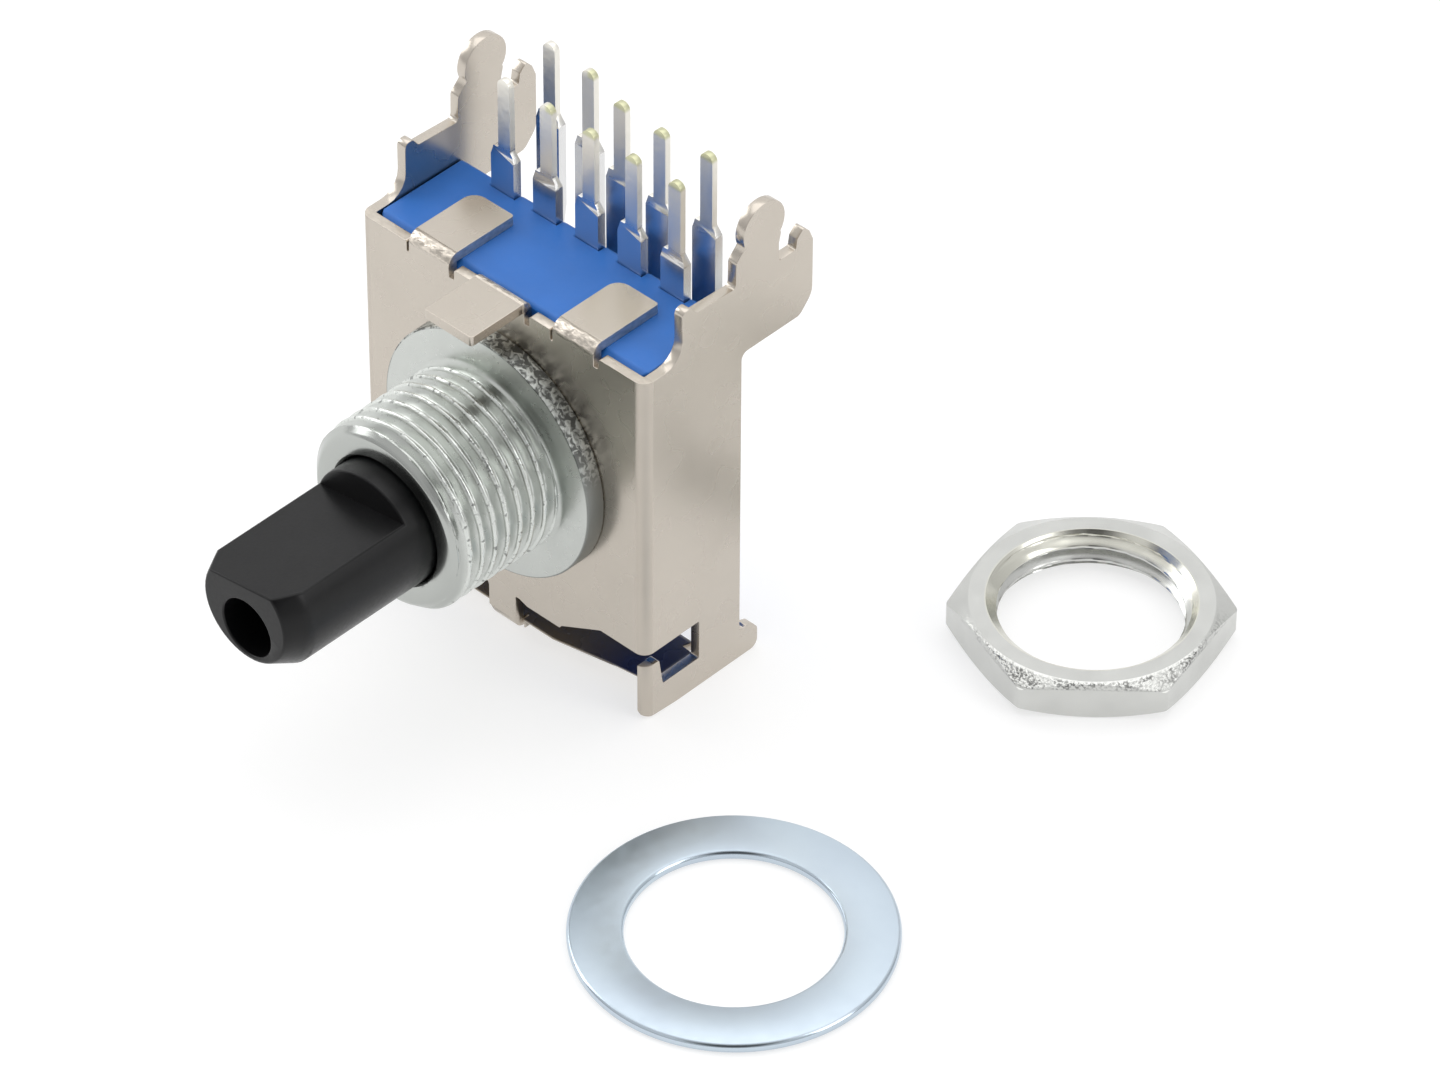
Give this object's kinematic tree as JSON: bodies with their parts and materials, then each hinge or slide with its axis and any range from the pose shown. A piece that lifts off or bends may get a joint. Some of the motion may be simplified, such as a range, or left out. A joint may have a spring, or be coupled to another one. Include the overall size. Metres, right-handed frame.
{
  "type": "rotary switch",
  "caption": "Board-mounted rotary switch with a folded frame, snap-in legs, threaded bushing and turning D-shaft, with its loose nut and washer.",
  "frame": {"origin": "shaft axis at the outer face of the front plate", "axes": "-Y along the shaft towards its free end, +Z the way the board pins point, +X to the right seen from the shaft end"},
  "size_m": [0.0356, 0.0391, 0.0251],
  "materials": {
    "plated_steel": "satin nickel plate",
    "zinc_casting": "satin die-cast zinc",
    "black_plastic": "matte",
    "bronze": "satin",
    "blue_plastic": "satin",
    "ivory_plastic": "satin",
    "tinned_terminal": "bright tin plate",
    "plated_nut": "bright nickel plate",
    "zinc_washer": "bluish zinc plate"
  },
  "bodies": {
    "housing": {"frame": "plated_steel", "bushing": "zinc_casting", "detent_spring": "bronze", "front_case": "blue_plastic", "wafer_front": "blue_plastic", "terminal_front_1": "tinned_terminal", "terminal_front_2": "tinned_terminal", "terminal_front_3": "tinned_terminal", "terminal_front_4": "tinned_terminal", "terminal_front_5": "tinned_terminal", "rear_case": "blue_plastic", "wafer_rear": "blue_plastic", "terminal_rear_1": "tinned_terminal", "terminal_rear_2": "tinned_terminal", "terminal_rear_3": "tinned_terminal", "terminal_rear_4": "tinned_terminal", "terminal_rear_5": "tinned_terminal", "mounting_nut": "plated_nut", "washer": "zinc_washer"},
    "rotor": {"shaft": "black_plastic", "rotor_front": "ivory_plastic", "wiper_front": "bronze", "rotor_rear": "ivory_plastic", "wiper_rear": "bronze"}
  },
  "joints": [
    {"name": "shaft_turn", "type": "hinge", "parent": "housing", "child": "rotor", "pos_m": [0, 0, 0], "axis": [0, 1, 0], "range_deg": [-30, 60]}
  ]
}
